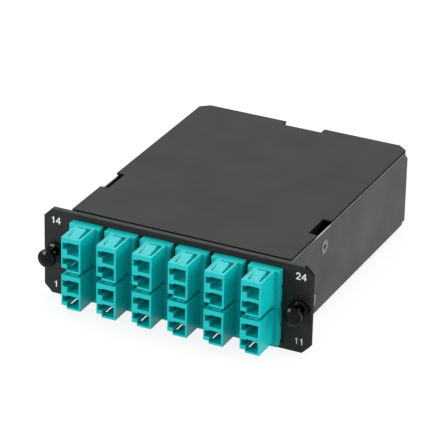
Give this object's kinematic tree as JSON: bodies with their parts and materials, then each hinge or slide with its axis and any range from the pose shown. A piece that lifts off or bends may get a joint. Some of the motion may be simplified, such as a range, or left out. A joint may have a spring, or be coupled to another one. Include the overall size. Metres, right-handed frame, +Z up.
{
  "type": "fibre cassette",
  "caption": "Flat rack-panel cassette: LC duplex adapters in two rows on a dark faceplate, push rivets at its ends, a shallow covered sheet-metal tray behind and MPO adapters at the rear.",
  "frame": {"origin": "midpoint between the two push rivets, in the plane of the backs of the ears, which lands on the patch panel", "axes": "X along the faceplate to the right seen from the front, Y backwards into the rack, Z up"},
  "size_m": [0.1094, 0.1374, 0.035],
  "materials": {
    "case_coat": "satin powder coat",
    "plate_coat": "satin powder coat",
    "aqua_plastic": "moulded, satin",
    "plug_plastic": "moulded",
    "fibre_buffer": "matt",
    "comb_plastic": "moulded",
    "insert_brass": "plain",
    "screw_steel": "bright zinc",
    "nut_steel": "zinc",
    "rivet_nylon": "moulded",
    "mpo_plug_plastic": "moulded",
    "boot_rubber": "matt",
    "ferrule_plastic": "moulded"
  },
  "bodies": {
    "cassette": {"base_tray": "case_coat", "comb_inserts": "insert_brass", "comb_screws": "screw_steel", "cover_screws": "screw_steel", "faceplate": "plate_coat", "fanout_lower": "boot_rubber", "fanout_upper": "boot_rubber", "fibre_comb": "comb_plastic", "fibre_harness_bottom": "fibre_buffer", "fibre_harness_top": "fibre_buffer", "grommet_left": "rivet_nylon", "grommet_right": "rivet_nylon", "lc_adapter_bottom_1": "aqua_plastic", "lc_adapter_bottom_2": "aqua_plastic", "lc_adapter_bottom_3": "aqua_plastic", "lc_adapter_bottom_4": "aqua_plastic", "lc_adapter_bottom_5": "aqua_plastic", "lc_adapter_bottom_6": "aqua_plastic", "lc_adapter_top_1": "aqua_plastic", "lc_adapter_top_2": "aqua_plastic", "lc_adapter_top_3": "aqua_plastic", "lc_adapter_top_4": "aqua_plastic", "lc_adapter_top_5": "aqua_plastic", "lc_adapter_top_6": "aqua_plastic", "lc_plugs_bottom_1": "plug_plastic", "lc_plugs_bottom_2": "plug_plastic", "lc_plugs_bottom_3": "plug_plastic", "lc_plugs_bottom_4": "plug_plastic", "lc_plugs_bottom_5": "plug_plastic", "lc_plugs_bottom_6": "plug_plastic", "lc_plugs_top_1": "plug_plastic", "lc_plugs_top_2": "plug_plastic", "lc_plugs_top_3": "plug_plastic", "lc_plugs_top_4": "plug_plastic", "lc_plugs_top_5": "plug_plastic", "lc_plugs_top_6": "plug_plastic", "mpo_adapter_lower": "aqua_plastic", "mpo_adapter_upper": "aqua_plastic", "mpo_plug_lower": "mpo_plug_plastic", "mpo_plug_upper": "mpo_plug_plastic", "mt_ferrules": "ferrule_plastic", "spacer_nuts": "nut_steel", "top_cover": "case_coat"},
    "plunger_left": {"plunger_left": "rivet_nylon"},
    "plunger_right": {"plunger_right": "rivet_nylon"}
  },
  "joints": [
    {"name": "plunger_left_push", "type": "slide", "parent": "cassette", "child": "plunger_left", "axis": [0, 1, 0], "range_m": [0, 0.0046]},
    {"name": "plunger_right_push", "type": "slide", "parent": "cassette", "child": "plunger_right", "axis": [0, 1, 0], "range_m": [0, 0.0038]}
  ]
}
